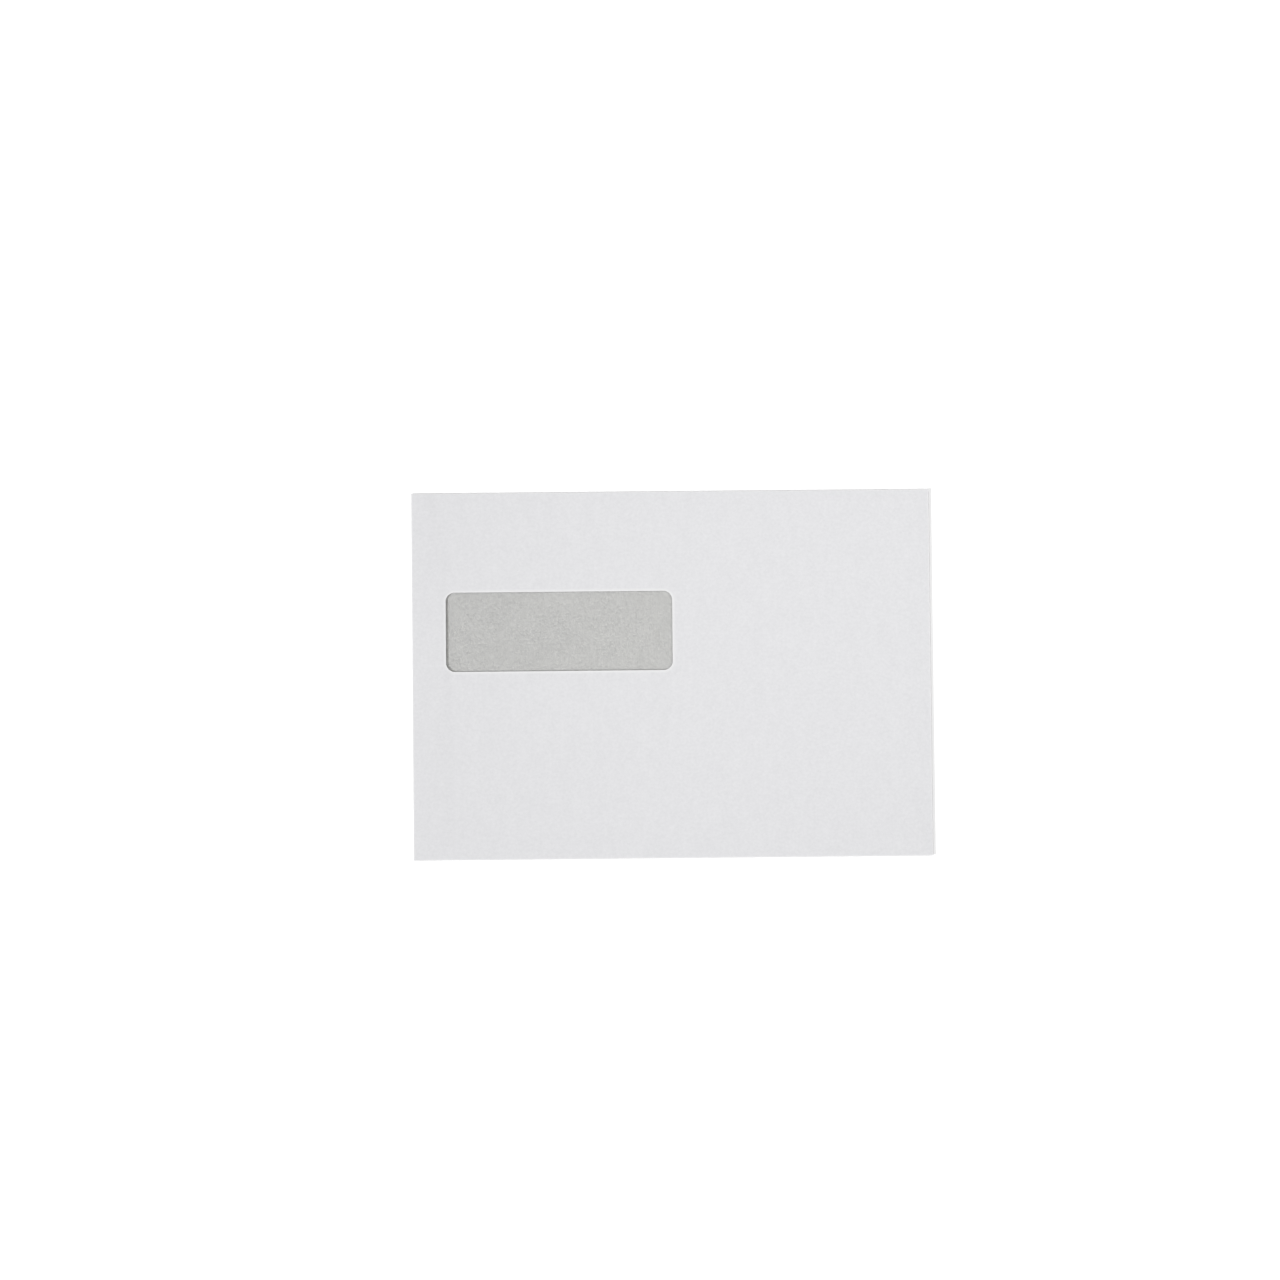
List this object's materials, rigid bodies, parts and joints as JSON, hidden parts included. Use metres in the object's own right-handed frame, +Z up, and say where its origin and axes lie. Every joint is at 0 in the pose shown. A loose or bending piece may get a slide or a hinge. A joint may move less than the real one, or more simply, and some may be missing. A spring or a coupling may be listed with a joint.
{
  "type": "window envelope",
  "caption": "Flat wallet envelope of white paper, folded shut, with a film window left of centre and a straight closing flap along its long side.",
  "frame": {"origin": "under the middle of the envelope, on the surface that its back lies on", "axes": "+X to the right along the long side as the address is read, +Y up the address side to the fold of the closing flap, +Z up out of the window side"},
  "size_m": [0.229, 0.162, 0.0011],
  "materials": {
    "paper": "matte",
    "window_film": "gloss"
  },
  "bodies": {
    "root": {"envelope_paper": "paper", "window_film": "window_film"}
  },
  "joints": []
}
